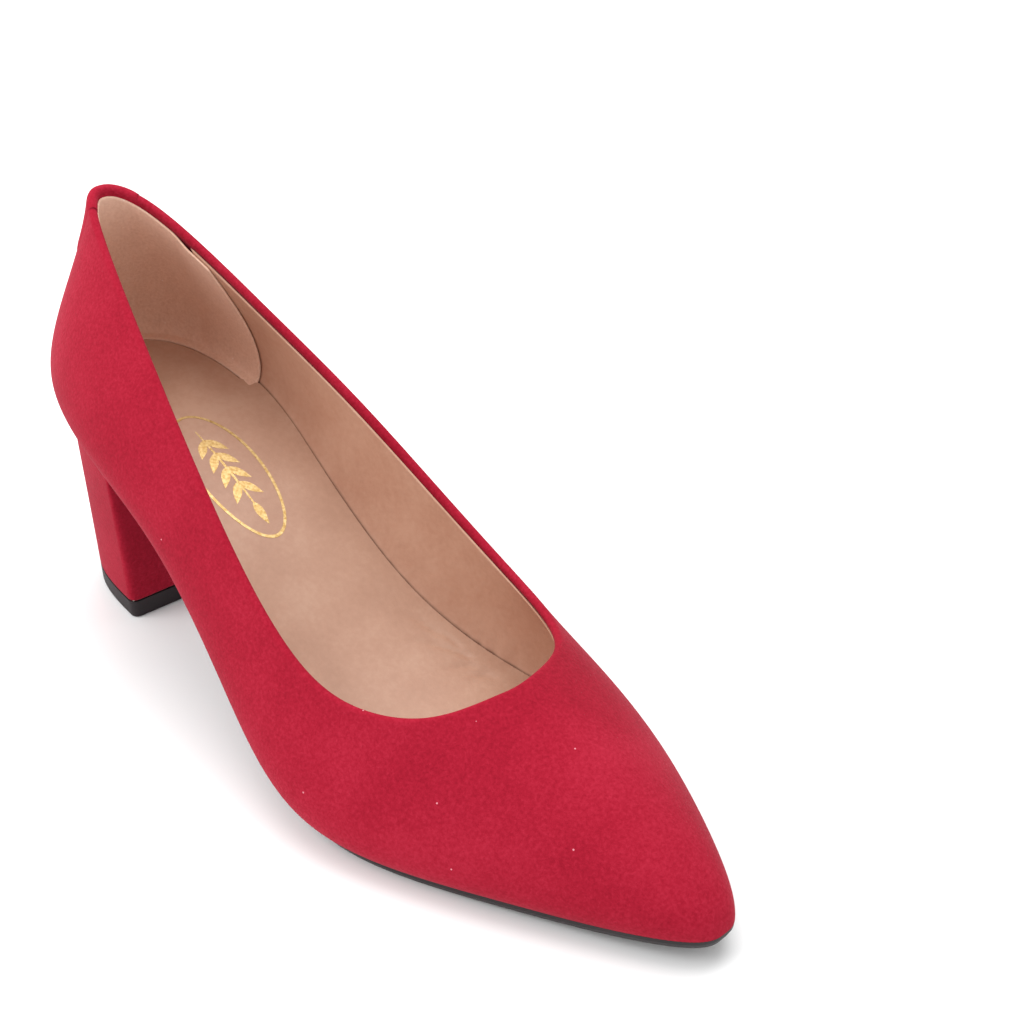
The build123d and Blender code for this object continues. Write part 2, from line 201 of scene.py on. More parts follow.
def wall(u, v, depth):
    """Points of the wall at stations u, from v = 0 at the feather line to 1 at the topline,
    this deep inside the suede's face; beyond the topline the wall runs straight on."""
    u, v, depth = np.broadcast_arrays(np.asarray(u, float), v, depth)
    flat, flat_run = on_spline(FEATHER, u)
    top, top_run = on_spline(TOPLINE, u)
    low, high = np.moveaxis(on_spline(BULGE, u)[0], -1, 0)
    foot = np.concatenate([flat, level(flat[..., 0], 0)[..., None]], -1)
    size = np.linalg.norm(top - foot, axis=-1)
    up = unit(top - foot)
    run = np.zeros_like(foot)
    run[..., :2] = unit(flat_run) + unit(top_run[..., :2])
    out = unit(np.cross(run, up))
    t = np.minimum(v, 1)
    first, second, third = 3 * t * (1 - t) ** 2, 3 * t**2 * (1 - t), t**3
    a = first * low + second * high
    b = size * (first * LOW_REACH + second * HIGH_REACH + third)
    first, second, third = (1 - t) * (1 - 3 * t), t * (2 - 3 * t), t**2
    da = first * low + second * high
    db = size * (first * LOW_REACH + second * HIGH_REACH + third)
    beyond = (v - t) * size
    a = a + (beyond * da - depth * db) / np.hypot(da, db)
    b = b + (beyond * db + depth * da) / np.hypot(da, db)
    return foot + a[..., None] * out + b[..., None] * up


def wall_size(u):
    """Distance from the feather line to the topline at each station."""
    flat = on_spline(FEATHER, np.asarray(u, float))[0]
    foot = np.concatenate([flat, level(flat[..., 0], 0)[..., None]], -1)
    return np.linalg.norm(on_spline(TOPLINE, np.asarray(u, float))[0] - foot, axis=-1)


def formed(name, columns, rows, place, material, capped=False):
    """A fine grid pulled into shape: place turns grid fractions into millimetres. Edges that
    meet are joined, open ends are capped if asked, and the faces are turned outwards."""
    shape = bmesh.new()
    bmesh.ops.create_grid(shape, x_segments=columns, y_segments=rows, size=0.5)
    across = np.array([vert.co.x for vert in shape.verts]) + 0.5
    along = np.array([vert.co.y for vert in shape.verts]) + 0.5
    points = place(across, along) / 1000 + TO_FRAME
    for vert, point in zip(shape.verts, points):
        vert.co = point
    bmesh.ops.remove_doubles(shape, verts=shape.verts, dist=1e-6)
    if capped:
        edges = [edge for edge in shape.edges if edge.is_boundary]
        bmesh.ops.holes_fill(shape, edges=edges, sides=0)
    bmesh.ops.recalc_face_normals(shape, faces=shape.faces)
    return finish_piece(name, shape, material)


def finish_piece(name, shape, material, smooth=True):
    """Turn a finished bmesh into a piece that rides on the shoe."""
    for face in shape.faces:
        face.smooth = smooth
    mesh = bpy.data.meshes.new(name)
    shape.to_mesh(mesh)
    shape.free()
    mesh.materials.append(material)
    piece = bpy.data.objects.new(name, mesh)
    scene.collection.objects.link(piece)
    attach(piece, "root")
    return piece


# ---------------------------------------------------------------------------------------
# Upper: one piece of goat suede, 1.1 mm thick, pulled over the last and glued under the
# board. Its top edge is folded over and pressed, so the topline is a soft red roll.
# ---------------------------------------------------------------------------------------
TONES = ((45, 2.0, 0.5), (13, 3.0, 0.45), (0.45, 4.0, 0.75))
LINT_MM = 9
LINT_SIZE = 0.028


def make_suede(name, colour, brushed, shade, lint, glow):
    """Suede, brushed on the flesh side: matt, with a nap too fine to show, drawn about twice
    as coarse as it is. It lies lighter or darker in thumb-sized patches, glows a little at
    grazing angles and holds a few pale specks of lint. TONES gives the slow unevenness, the
    brushed patches and the nap, as (millimetres, detail, weight)."""
    material, shader = new_material(
        name, Roughness=0.95, Specular_IOR_Level=0.12, Sheen_Weight=0.16, Sheen_Roughness=0.4,
        Sheen_Tint=hex_colour(glow),
    )
    place = add_node(material, "ShaderNodeTexCoord").outputs["Object"]
    total = None
    for size, detail, weight in TONES:
        noise = add_node(
            material, "ShaderNodeTexNoise", [("Vector", place)],
            Scale=1000 / size / 2, Detail=detail, Roughness=0.6, Distortion=0.3,
        )
        share = add_node(
            material, "ShaderNodeMapRange", [("Value", noise.outputs["Fac"])],
            From_Min=0.25, From_Max=0.75, To_Min=-weight / 2, To_Max=weight / 2,
        )
        if total is None:
            total = share.outputs["Result"]
        else:
            both = [(0, total), (1, share.outputs["Result"])]
            total = add_node(material, "ShaderNodeMath", both, operation="ADD").outputs["Value"]
    tones = add_node(
        material, "ShaderNodeMapRange", [("Value", total)], From_Min=-0.5, From_Max=0.5
    )
    ramp = add_node(material, "ShaderNodeValToRGB", [("Fac", tones.outputs["Result"])])
    ramp.color_ramp.elements[0].color = hex_colour(shade)
    ramp.color_ramp.elements[1].color = hex_colour(brushed)
    ramp.color_ramp.elements.new(0.5).color = hex_colour(colour)
    specks = add_node(
        material, "ShaderNodeTexVoronoi", [("Vector", place)], Scale=1000 / LINT_MM
    )
    caught = add_node(
        material, "ShaderNodeMath", [(0, specks.outputs["Distance"])],
        operation="LESS_THAN",
    )
    caught.inputs[1].default_value = LINT_SIZE
    dotted = add_node(
        material, "ShaderNodeMix", [("Factor", caught.outputs["Value"])], data_type="RGBA"
    )
    material.node_tree.links.new(ramp.outputs["Color"], dotted.inputs[6])
    dotted.inputs[7].default_value = hex_colour(lint)
    bump = add_node(
        material, "ShaderNodeBump", [("Height", noise.outputs["Fac"])],
        Strength=0.5, Distance=0.0003,
    )
    material.node_tree.links.new(dotted.outputs[2], shader.inputs["Base Color"])
    material.node_tree.links.new(bump.outputs["Normal"], shader.inputs["Normal"])
    return material


# Goat suede dyed a deep cherry red, with a pink glow where the nap is seen from the side.
red_suede = make_suede("red_goat_suede", "#9C162C", "#AC2339", "#890D22", "#D98A96", "#DE96A2")

SUEDE = 1.1
ROLL_WIDTH = 2.6
FOLD_DROP = 9.0
SEAM_DEPTH = 0.3
SEAM_STATIONS = 0.025
FRINGE = 0.35
FRINGE_WAVES = (240, 377)
STATIONS, BACK = 18, 9
CROWDING = 0.9
FACE_END, ROLL_END, FOLD_END = 0.6, 0.8, 0.9


def dense_stations(across):
    """Station of each column: all the way round, closest at the toe and the back seam."""
    return STATIONS * across - CROWDING * np.sin(4 * math.pi * across)


def upper_profile(u, along):
    """Round one section of the suede: up its face, over the roll and down inside."""
    size = wall_size(u)
    bend = ROLL_WIDTH / 2
    top = 1 - bend / size
    up_face = np.clip(along / FACE_END, 0, 1)
    fibres = sum(np.sin(math.tau * waves * u / STATIONS) for waves in FRINGE_WAVES)
    fringe = FRINGE * (0.6 + 0.25 * fibres) * np.clip(1 - up_face / 0.01, 0, 1)
    turn = np.clip((along - FACE_END) / (ROLL_END - FACE_END), 0, 1) * math.pi
    down = np.clip((along - ROLL_END) / (FOLD_END - ROLL_END), 0, 1)
    inside = np.clip((along - FOLD_END) / (1 - FOLD_END), 0, 1)
    v = up_face * top - fringe / size
    v = np.where(along > FACE_END, top + bend * np.sin(turn) / size, v)
    v = np.where(along > ROLL_END, top - down * FOLD_DROP / size, v)
    depth = bend * (1 - np.cos(turn))
    depth = depth - down**4 * (ROLL_WIDTH - SUEDE)
    v = v - inside * v
    depth = depth * (1 - np.clip(inside * 8 - 7, 0, 1))
    seam = SEAM_DEPTH * np.exp(-(((u - BACK) / SEAM_STATIONS) ** 2))
    return v, depth + seam * (along < (FACE_END + ROLL_END) / 2)


def place_upper(across, along):
    u = dense_stations(across)
    return wall(u, *upper_profile(u, along))


upper = formed("suede_upper", 640, 120, place_upper, red_suede)
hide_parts("upper")

# ---------------------------------------------------------------------------------------
# Back tab: a small suede patch folded over the topline at the centre back. It is pressed
# into the roll and glued, with its edges pared thin, so that only a faint step shows.
# ---------------------------------------------------------------------------------------
TAB_STATIONS = (8.2, 9.8)
TAB_OUTSIDE, TAB_INSIDE = 13.0, 3.0
TAB = 0.35
SKIVED_STATIONS = 0.12
TAB_FACE_END, TAB_ROLL_END = 0.55, 0.85


def place_tab(across, along):
    u = TAB_STATIONS[0] + across * (TAB_STATIONS[1] - TAB_STATIONS[0])
    size = wall_size(u)
    bend = ROLL_WIDTH / 2
    top = 1 - bend / size
    turn = np.clip((along - TAB_FACE_END) / (TAB_ROLL_END - TAB_FACE_END), 0, 1) * math.pi
    rise = 1 - np.clip(along / TAB_FACE_END, 0, 1)
    fall = np.clip((along - TAB_ROLL_END) / (1 - TAB_ROLL_END), 0, 1)
    v = top - rise * (TAB_OUTSIDE - bend) / size + (bend + TAB) * np.sin(turn) / size
    v = v - fall * (TAB_INSIDE - bend) / size
    ends = np.minimum(u - TAB_STATIONS[0], TAB_STATIONS[1] - u) / SKIVED_STATIONS
    tuck = 1 - np.clip(np.minimum(ends, along * 25), 0, 1) ** 0.5
    depth = bend - (bend + TAB * (1 - tuck)) * np.cos(turn)
    return wall(u, v, depth)


tab = formed("back_tab_suede", 60, 60, place_tab, red_suede)
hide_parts("back_tab")

# ---------------------------------------------------------------------------------------
# Reinforcements, hidden between suede and lining: nylon tape that keeps the topline from
# stretching, and a toe puff and heel counter moulded hard from resin-filled felt.
# ---------------------------------------------------------------------------------------


def stock(name, light, dark, grain_mm, relief_mm, stretch=(1, 1, 1), **settings):
    """Plain sheet or bar stock: two close tones in a grain of this size in millimetres, drawn
    out along the way that it was rolled, woven or brushed, and a little relief."""
    material, shader = new_material(name, **settings)
    place = add_node(material, "ShaderNodeTexCoord").outputs["Object"]
    drawn = add_node(material, "ShaderNodeMapping", [("Vector", place)], Scale=stretch)
    grain = add_node(
        material, "ShaderNodeTexNoise", [("Vector", drawn.outputs["Vector"])],
        Scale=1000 / grain_mm / 2, Detail=5.0, Roughness=0.65,
    )
    tones = add_node(material, "ShaderNodeValToRGB", [("Fac", grain.outputs["Fac"])])
    tones.color_ramp.elements[0].position = 0.35
    tones.color_ramp.elements[0].color = hex_colour(dark)
    tones.color_ramp.elements[1].position = 0.65
    tones.color_ramp.elements[1].color = hex_colour(light)
    bump = add_node(
        material, "ShaderNodeBump", [("Height", grain.outputs["Fac"])],
        Strength=0.4, Distance=relief_mm / 1000,
    )
    material.node_tree.links.new(tones.outputs["Color"], shader.inputs["Base Color"])
    material.node_tree.links.new(bump.outputs["Normal"], shader.inputs["Normal"])
    return material


def refinish(material, *nodes):
    """Give nodes that keep the shape that the frame has their real finish."""
    for node in nodes:
        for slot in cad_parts[node].material_slots:
            slot.material = material


ALONG = (0.15, 1, 1)
UPRIGHT = (1, 1, 0.15)
# Woven nylon tape: off-white and dull, with threads that run along it.
nylon_tape = stock("woven_nylon_tape", "#E4E0D6", "#CFC9BC", 0.4, 0.1, ALONG, Roughness=0.8)
refinish(nylon_tape, "topline_tape")
# Felt stiffened with resin: buff, dry and faintly mottled.
resin_felt = stock("resin_filled_felt", "#D9CDB4", "#BFB08F", 0.8, 0.15, Roughness=0.9)
refinish(resin_felt, "toe_puff", "heel_counter")

# ---------------------------------------------------------------------------------------
# Front lining: 0.8 mm vegetable-tanned calf, smooth side in, glued behind the upper from
# the toe back to the heel grip. It ends just under the roll, and creases a little where it
# was drawn over the bend of the last.
# ---------------------------------------------------------------------------------------
LINING_DEPTH, LINING = 2.7, 0.8
LINING_DROP = 1.6
LINING_FOOT = 3
LINING_END = 7.6
LINING_COLUMNS = 640
GRAIN_MM = 0.9
SOCK_TOP = 5.6
# Painted shade with some glue dirt: the dark brown that the lining and the sock's rolled edge turn
# to down in the crevice where they meet.
CREVICE_SHADE_AND_DIRT = "#74503F"
CREVICE_RISE = (-0.3, 0.4)


def mark_crevice(piece, rise):
    """Store how exposed each point of a piece is: 0 down in a crevice, which is painted darker
     there as shade with some glue dirt, and 1 clear of it. CREVICE_RISE gives the millimetres
     between the two."""
    places = np.array([vert.co for vert in piece.data.vertices])
    places = (places - TO_FRAME) * 1000
    exposed = np.clip((rise(places) - CREVICE_RISE[0]) / (CREVICE_RISE[1] - CREVICE_RISE[0]), 0, 1)
    layer = piece.data.attributes.new("exposed", "FLOAT", "POINT")
    layer.data.foreach_set("value", exposed.astype(np.float32))


def above_sock(places):
    """Height of each place above the sock's face."""
    return places[:, 2] - level(places[:, 0], SOCK_TOP)


def make_calf(name, colour, worn, deep, roughness):
    """Finished calf leather: smooth and softly glossy, with a fine pebbled grain, a few stretched
     creases, a slow change of tone from the dye, and painted shade with some glue dirt in
     crevices."""
    material, shader = new_material(name, Roughness=roughness, Specular_IOR_Level=0.4)
    place = add_node(material, "ShaderNodeTexCoord").outputs["Object"]
    grain = add_node(
        material, "ShaderNodeTexVoronoi", [("Vector", place)], Scale=1000 / GRAIN_MM,
        feature="DISTANCE_TO_EDGE",
    )
    fine = add_node(
        material, "ShaderNodeTexNoise", [("Vector", place)],
        Scale=1000 / GRAIN_MM / 2, Detail=4.0, Roughness=0.65,
    )
    tone = add_node(
        material, "ShaderNodeTexNoise", [("Vector", place)], Scale=45.0, Detail=3.0,
    )
    little = add_node(
        material, "ShaderNodeMapRange", [("Value", fine.outputs["Fac"])],
        From_Min=0.3, From_Max=0.7, To_Min=-0.1, To_Max=0.1,
    )
    mixed = add_node(
        material, "ShaderNodeMath",
        [(0, tone.outputs["Fac"]), (1, little.outputs["Result"])], operation="ADD",
    )
    tones = add_node(material, "ShaderNodeValToRGB", [("Fac", mixed.outputs["Value"])])
    tones.color_ramp.elements[0].position = 0.3
    tones.color_ramp.elements[0].color = hex_colour(deep)
    tones.color_ramp.elements[1].position = 0.7
    tones.color_ramp.elements[1].color = hex_colour(worn)
    tones.color_ramp.elements.new(0.5).color = hex_colour(colour)
    pores = add_node(
        material, "ShaderNodeMath", [(0, grain.outputs["Distance"]), (1, fine.outputs["Fac"])],
        operation="ADD",
    )
    bump = add_node(
        material, "ShaderNodeBump", [("Height", pores.outputs["Value"])],
        Strength=0.18, Distance=0.00015,
    )
    # Painted shade with some glue dirt: where a piece is marked as down in a crevice, its colour
    # turns to the dark crevice brown.
    exposed = add_node(material, "ShaderNodeAttribute", attribute_name="exposed")
    dust_and_shade = add_node(
        material, "ShaderNodeMix",
        [("Factor", exposed.outputs["Fac"]), (7, tones.outputs["Color"])], data_type="RGBA",
    )
    dust_and_shade.inputs[6].default_value = hex_colour(CREVICE_SHADE_AND_DIRT)
    material.node_tree.links.new(dust_and_shade.outputs[2], shader.inputs["Base Color"])
    material.node_tree.links.new(bump.outputs["Normal"], shader.inputs["Normal"])
    return material


# Vegetable-tanned calf in a warm nude, with the soft gloss of a finished grain.
nude_calf = make_calf("nude_calf_lining", "#C4977F", "#CBA088", "#BC8D75", 0.5)


def creases(u, v, size):
    """Shallow folds of the lining in millimetres: short ones along the bottom edge by the
    ball of the foot, fading out up the wall, and a slow unevenness everywhere."""
    low = np.exp(-(((v * size - 6) / 9) ** 2))
    ball = np.exp(-(((np.abs(u) - 4.2) / 1.2) ** 2))
    patches = 0.5 + 0.5 * np.sin(u * 6.1 + v * 5)
    folds = np.sin(u * 46 + 3 * np.sin(u * 7) + v * size * 0.15)
    slow = np.sin(u * 3.1 + 0.7) * np.sin(v * 4 + u)
    return low * ball * patches * 0.16 * folds + 0.12 * slow


EDGE_SHARE = 0.012


def leaf(along):
    """Round a sheet's section, up one face and down the other: how far up, and which side
    from -1 to 1. The top edge is rounded over and the hidden foot runs out to nothing."""
    up = 1 - np.abs(2 * along - 1) ** 1.5
    rounding = np.sqrt(1 - np.clip(1 - (1 - up) / EDGE_SHARE, 0, 1) ** 2)
    side = np.where(along < 0.5, -1, 1) * np.minimum(rounding, np.clip(up * 30, 0, 1))
    return up, side


def place_lining(across, along):
    u = (across * 2 - 1) * LINING_END
    size = wall_size(u)
    low = LINING_FOOT / size
    up, side = leaf(along)
    v = low + up * (1 - LINING_DROP / size - low)
    ends = np.clip(np.minimum(across, 1 - across) * LINING_COLUMNS, 0, 1)
    middle = LINING_DEPTH + LINING / 2 + creases(u, v, size) * np.clip((1 - up) * 30, 0, 1)
    return wall(u, v, middle + side * ends * LINING * 0.45)


lining = formed("calf_front_lining", LINING_COLUMNS, 120, place_lining, nude_calf)
# Painted shade with some glue dirt along the lining's foot, where it meets the sock.
mark_crevice(lining, above_sock)
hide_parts("front_lining")

# ---------------------------------------------------------------------------------------
# Heel grip: a pale suede piece sewn in with its nap inwards, so the heel doesn't slip. Its
# front edge is cut to a curve and laps over the front lining, and its foot turns in on the
# board as a narrow ledge beside the sock.
# ---------------------------------------------------------------------------------------
GRIP = 0.8
GRIP_DEPTH = LINING_DEPTH + LINING + 0.1
GRIP_FRONT = 7.05
GRIP_COLUMNS = 300
GRIP_CURVE = 0.37
LAP_STATIONS = 0.2
GRIP_DROP = 2.2
LEDGE = 3.0
LEDGE_SHARE = 0.12
LEDGE_HEIGHT = 5.3

# Undyed-looking pale suede: a chalky nude, which keeps the inside of the heel light.
pale_suede = make_suede(
    "nude_suede_grip", "#E2BAA3", "#EBC6B0", "#D6AB93", "#EBD2C4", "#F0DDD2"
)


def height_at(depth, u, height):
    """Fraction v up the wall where a layer reaches this height above the feather line."""
    low, high = np.zeros_like(u), np.full_like(u, 0.6)
    for _ in range(22):
        middle = (low + high) / 2
        points = wall(u, middle, depth)
        over = points[..., 2] > level(points[..., 0], height)
        low, high = np.where(over, low, middle), np.where(over, middle, high)
    return high


def inward_of(u):
    """Level unit vector from the wall towards the middle of the shoe."""
    run = unit(on_spline(FEATHER, u)[1])
    return np.stack([-run[:, 1], run[:, 0]], -1)


def grip_middle(u):
    """Depth of the grip's middle: it laps over the lining, and lies on the suede behind it."""
    behind = np.clip((np.minimum(u, STATIONS - u) - LINING_END) / LAP_STATIONS, 0, 1)
    settled = behind * behind * (3 - 2 * behind)
    return GRIP_DEPTH + GRIP / 2 - settled * (GRIP_DEPTH - LINING_DEPTH)


def place_grip(across, along):
    up, side = leaf(along)
    climb = np.clip((up - LEDGE_SHARE) / (1 - LEDGE_SHARE), 0, 1)
    front = GRIP_FRONT + GRIP_CURVE * climb**2.2
    u = front + across * (STATIONS - 2 * front)
    size = wall_size(u)
    middle = grip_middle(u)
    low = height_at(middle, u, LEDGE_HEIGHT)
    v = low + climb * (1 - GRIP_DROP / size - low)
    ends = np.clip(np.minimum(across, 1 - across) * GRIP_COLUMNS / 2, 0, 1) ** 0.5
    half = side * ends * GRIP / 2
    points = wall(u, v, middle + half)
    ledge_width = LEDGE + GRIP_DEPTH + GRIP / 2 - middle
    ledge = np.clip(1 - up / LEDGE_SHARE, 0, 1) * ledge_width
    points[:, :2] += inward_of(u) * ledge[:, None]
    flat = level(points[:, 0], LEDGE_HEIGHT) + half
    points[:, 2] = np.where(ledge > 0, flat, points[:, 2])
    return points


grip = formed("suede_heel_grip", GRIP_COLUMNS, 130, place_grip, pale_suede)
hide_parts("heel_grip")

# ---------------------------------------------------------------------------------------
# Bottom: cellulose insole board, a stiff shank board with a tempered steel shank riveted
# along it, latex foam under the ball, and a cork filler in the hollow below the board.
# ---------------------------------------------------------------------------------------
# Pressed cellulose is tan and dry with a fleck; shank board is denser and grey brown.
insole_fibre = stock("cellulose_board", "#B58E63", "#9A754D", 1.2, 0.1, Roughness=0.85)
shank_fibre = stock("pressed_shank_board", "#7A6A58", "#645545", 1.0, 0.1, Roughness=0.85)
# Tempered spring steel is a dull blue grey, drawn along its length; brass is warm and bright.
tempered_steel = stock(
    "tempered_steel", "#8F9196", "#74767B", 0.3, 0.02, ALONG, Metallic=1.0, Roughness=0.4
)
brass = stock("rivet_brass", "#C9A860", "#AD8C49", 0.3, 0.02, Metallic=1.0, Roughness=0.35)
# Latex foam is cream with open cells; ground cork is brown, in grains of about 1.5 mm.
latex = stock("latex_foam", "#EDE3C8", "#DCCFAE", 0.6, 0.3, Roughness=0.95)
cork = stock("ground_cork", "#B08A5C", "#7D5B38", 1.5, 0.3, Roughness=0.95)
refinish(insole_fibre, "insole_board")
refinish(shank_fibre, "shank_board")
refinish(tempered_steel, "steel_shank")
refinish(brass, "shank_rivets")
refinish(latex, "forefoot_cushion")
refinish(cork, "bottom_filler")

# ---------------------------------------------------------------------------------------
# Sock: calf leather over thin latex foam, glued in over the board from heel to toe. It is
# slightly dished, with its cut edge rolled down against the lining.
# ---------------------------------------------------------------------------------------
SOCK_DEPTH = GRIP_DEPTH + GRIP + 0.1
SOCK_DISH = 0.5
SOCK_THICK = 1.0
# How much higher the sock's face counts for the painted crevice shade, so that only its
# rolled-down edge darkens.
SOCK_SHADE_LIFT = 1.1
SOCK_GAP, LEDGE_GAP = -0.35, 0.85
LEDGE_STATIONS = 0.12

# The sock's calf is a little duller and browner than the lining's.
sock_calf = make_calf("nude_calf_sock", "#BA917A", "#C19A83", "#B38A73", 0.48)


def sock_edge(u):
    """Edge of the sock against the wall, set in where it leaves the heel grip's ledge."""
    points = wall(u, height_at(SOCK_DEPTH - 0.5, u, SOCK_TOP), SOCK_DEPTH - 0.5)
    ledge = np.clip((np.minimum(u, STATIONS - u) - GRIP_FRONT) / LEDGE_STATIONS, 0, 1)
    points[:, :2] += inward_of(u) * (SOCK_GAP + ledge * (LEDGE + LEDGE_GAP))[:, None]
    return points


def rounded_plate(across, edges, corner, thickness):
    """Round a plate's section: along the underside from the outer edge to the arch edge, up,
    and back over the top. Gives side 0 to 1, how far in from that edge, and depth."""
    marks = [0, 0.4, 0.425, 0.45, 0.475, 0.5, 0.9, 0.925, 0.95, 0.975, 1]
    side = np.interp(across, marks, [0, 1, 1, 1, 1, 1, 0, 0, 0, 0, 0])
    inset = np.interp(across, marks, [1, 1, 0.3, 0, 0, edges, edges, 0, 0, 0.3, 1]) * corner
    low = np.interp(across, marks, [1, 1, 0.75, 0.3, 0, 0, 0, 0, 0.3, 0.75, 1])
    return side, inset, low * thickness


def across_foot(outer, arch, side, inset):
    """Point on the line between two edge points, kept inset from both."""
    width = np.linalg.norm(arch[:, :2] - outer[:, :2], axis=-1)
    inset = np.minimum(inset, width / 2)
    share = (inset + side * (width - 2 * inset)) / np.maximum(width, 1e-6)
    return outer + (arch - outer) * share[:, None]


WRINKLES = [
    (143, 25, -152, 20, 0.55), (146, 24, -118, 14, 0.45), (139, 25, -170, 14, 0.40),
    (152, 26, -140, 12, 0.35), (133, 22, -160, 12, 0.30), (150, 26, -95, 12, 0.30),
]
WRINKLE_WIDTH = 0.9


def wrinkled(x, y):
    """Depth of the creases that run in from the edge at the ball, as (x, y, heading in
    degrees, length, depth); each fades out along its length."""
    depth = np.zeros_like(x)
    for x0, y0, heading, length, deep in WRINKLES:
        cos, sin = math.cos(math.radians(heading)), math.sin(math.radians(heading))
        ahead = (x - x0) * cos + (y - y0) * sin
        aside = (y - y0) * cos - (x - x0) * sin - 0.02 * ahead**2
        fade = np.clip(1 - ahead / length, 0, 1) * np.clip(1 + ahead / 2, 0, 1)
        depth += deep * fade * np.exp(-((aside / WRINKLE_WIDTH) ** 2))
    return depth


def place_sock(across, along):
    u = along * BACK
    narrow = np.clip(np.minimum(along, 1 - along) / 0.01, 0, 1)
    side, inset, low = rounded_plate(across, 0.5, 0.6, SOCK_THICK)
    points = across_foot(sock_edge((STATIONS - u) % STATIONS), sock_edge(u), side, inset)
    dish = SOCK_DISH * np.sin(math.pi * side) ** 0.7 + wrinkled(points[:, 0], points[:, 1])
    points[:, 2] = level(points[:, 0], SOCK_TOP) - dish * (low == 0) - low * narrow
    return points


sock = formed("calf_sock_lining", 260, 330, place_sock, sock_calf)
# Painted shade with some glue dirt on the sock's rolled-down edge, against the lining.
mark_crevice(sock, lambda places: above_sock(places) + SOCK_SHADE_LIFT)
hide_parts("sock_lining", "sock_cushion")

# ---------------------------------------------------------------------------------------
# Foil ornament: a plain oval ring round a leaf sprig, pressed into the sock's leather with a
# hot die. The gold film is hardly thicker than paint and takes up the grain below it.
# ---------------------------------------------------------------------------------------
ORNAMENT_X, ORNAMENT_Y = 70.0, -2.0
RING_LENGTH, RING_WIDTH, RING_LINE = 46.0, 21.0, 0.9
STEM_LENGTH, STEM_LINE = 32.0, 0.8
LEAF_LENGTH, LEAF_WIDTH, LEAF_STEP, LEAF_PAIRS = 7.5, 2.6, 5.5, 4
LEAF_TURN = math.radians(38)
FOIL, FOIL_RISE = 0.05, 0.05

# Hot-pressed foil: pale gold, broken a little by the grain of the leather under it.
gold_foil, foil_shader = new_material("hot_pressed_gold_foil", Metallic=1.0, Roughness=0.5)
foil_place = add_node(gold_foil, "ShaderNodeTexCoord").outputs["Object"]
foil_grain = add_node(
    gold_foil, "ShaderNodeTexNoise", [("Vector", foil_place)],
    Scale=1000 / GRAIN_MM, Detail=3.0,
)
foil_tones = add_node(gold_foil, "ShaderNodeValToRGB", [("Fac", foil_grain.outputs["Fac"])])
foil_tones.color_ramp.elements[0].position = 0.35
foil_tones.color_ramp.elements[0].color = hex_colour("#B4925A")
foil_tones.color_ramp.elements[1].position = 0.65
foil_tones.color_ramp.elements[1].color = hex_colour("#D4BA85")
foil_bump = add_node(
    gold_foil, "ShaderNodeBump", [("Height", foil_grain.outputs["Fac"])],
    Strength=0.3, Distance=0.0001,
)
gold_foil.node_tree.links.new(foil_tones.outputs["Color"], foil_shader.inputs["Base Color"])
gold_foil.node_tree.links.new(foil_bump.outputs["Normal"], foil_shader.inputs["Normal"])


def add_stem(shape, length, line):
    """A strip of foil that tapers to both ends, along x."""
    made = bmesh.ops.create_grid(shape, x_segments=24, y_segments=1, size=0.5)["verts"]
    for vert in made:
        taper = 0.35 + 0.65 * math.cos(vert.co.x * math.pi)
        vert.co = Vector((vert.co.x * length, vert.co.y * line * taper, 0))


def add_leaf(shape, place, turn):
    """A pointed leaf of foil that grows from its place."""
    made = bmesh.ops.create_grid(shape, x_segments=12, y_segments=2, size=0.5)["verts"]
    for vert in made:
        swell = math.sin(math.pi * (vert.co.x + 0.5) ** 0.8) * LEAF_WIDTH
        vert.co = Vector(((vert.co.x + 0.5) * LEAF_LENGTH, vert.co.y * swell, 0))
    bmesh.ops.rotate(shape, verts=made, matrix=Matrix.Rotation(turn, 3, "Z"))
    bmesh.ops.translate(shape, verts=made, vec=place)


foil = bmesh.new()
rings = []
for line in (0, RING_LINE):
    grown = Matrix.Diagonal((RING_LENGTH / 2 - line, RING_WIDTH / 2 - line, 1, 1))
    ring = bmesh.ops.create_circle(foil, segments=120, radius=1, matrix=grown)["verts"]
    rings += dict.fromkeys(edge for vert in ring for edge in vert.link_edges)
bmesh.ops.bridge_loops(foil, edges=rings)
add_stem(foil, STEM_LENGTH, STEM_LINE)
for pair in range(LEAF_PAIRS):
    along_stem = Vector((pair * LEAF_STEP - STEM_LENGTH / 2 + 4, 0, 0))
    for turn in (LEAF_TURN, -LEAF_TURN):
        add_leaf(foil, along_stem, turn)
add_leaf(foil, Vector((STEM_LENGTH / 2 - LEAF_LENGTH + 3, 0, 0)), 0)
bmesh.ops.remove_doubles(foil, verts=foil.verts, dist=0.001)
bmesh.ops.recalc_face_normals(foil, faces=foil.faces)
bmesh.ops.solidify(foil, geom=foil.faces[:], thickness=FOIL)
sock_shape = bmesh.new()
sock_shape.from_mesh(sock.data)
sock_face = BVHTree.FromBMesh(sock_shape)
for vert in foil.verts:
    flat = Vector((ORNAMENT_X + vert.co.x, ORNAMENT_Y + vert.co.y, 0)) / 1000 + Vector(TO_FRAME)
    hit = sock_face.ray_cast(Vector((flat.x, flat.y, 0.2)), Vector((0, 0, -1)))[0]
    vert.co = hit + Vector((0, 0, (FOIL_RISE + vert.co.z) / 1000))
sock_shape.free()
bmesh.ops.recalc_face_normals(foil, faces=foil.faces)
ornament = finish_piece("gold_foil_ornament", foil, gold_foil, smooth=False)

